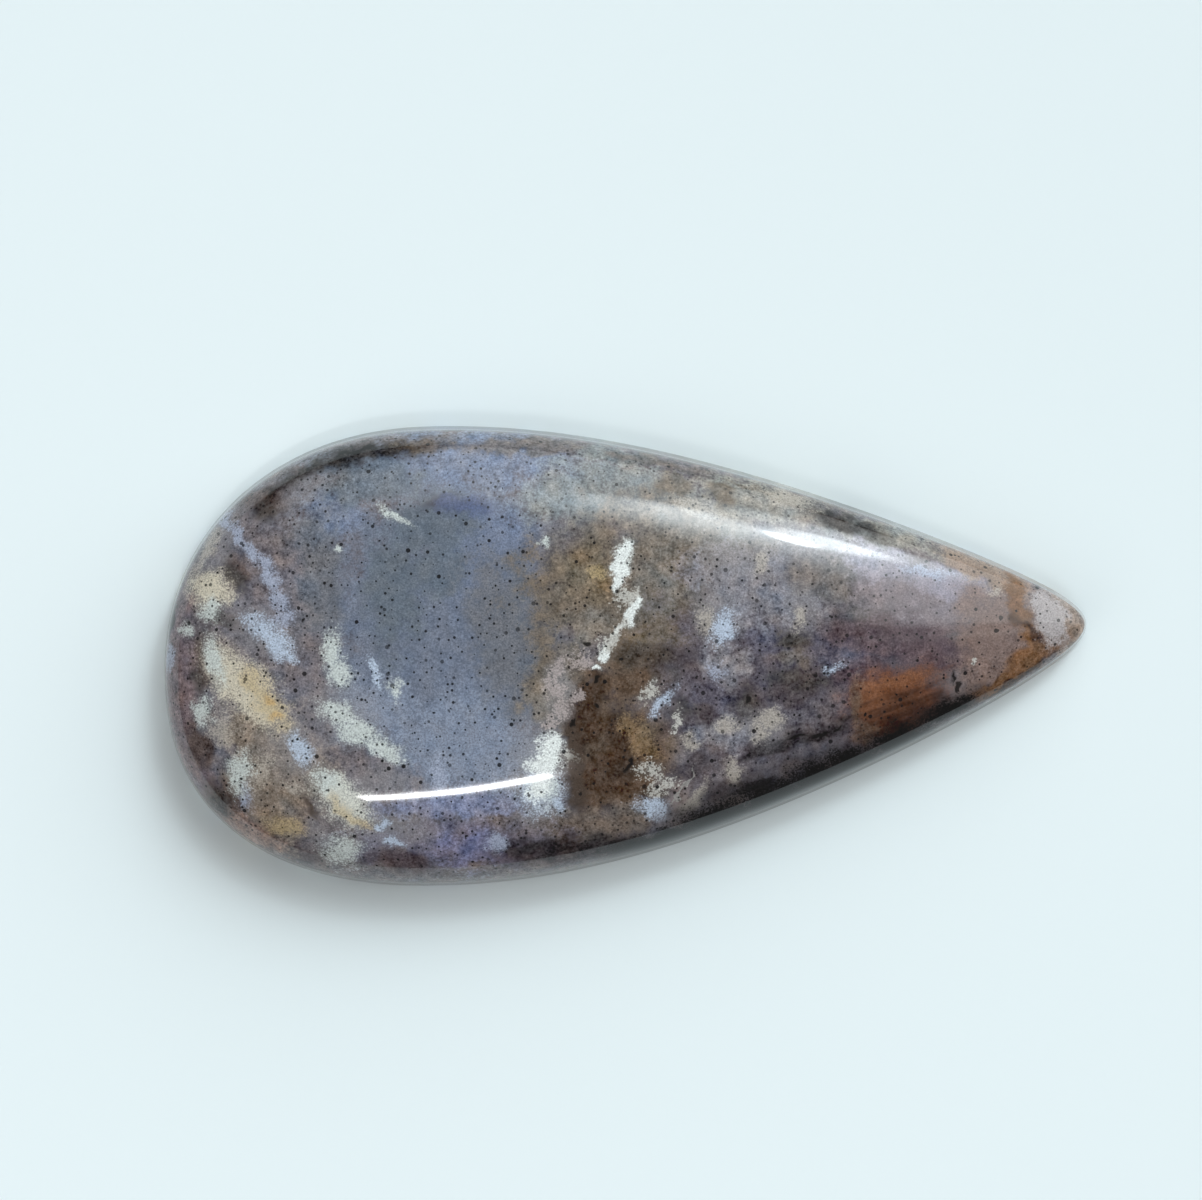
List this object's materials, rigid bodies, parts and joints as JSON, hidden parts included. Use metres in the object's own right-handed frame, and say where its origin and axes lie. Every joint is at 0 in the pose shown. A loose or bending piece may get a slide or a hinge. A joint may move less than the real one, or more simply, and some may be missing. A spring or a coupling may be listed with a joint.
{
  "type": "pear-shaped jasper cabochon",
  "caption": "Polished pear-shaped stone with a low flat-topped dome, a narrow upright edge and a flat back, for setting in jewellery.",
  "frame": {"origin": "on the flat back, under the middle of the stone's length and width", "axes": "+X from the round end towards the point, +Z out of the flat back through the top of the dome"},
  "size_m": [0.05, 0.0248, 0.0065],
  "materials": {
    "stone": "polished"
  },
  "bodies": {
    "root": {"cabochon": "stone"}
  },
  "joints": []
}
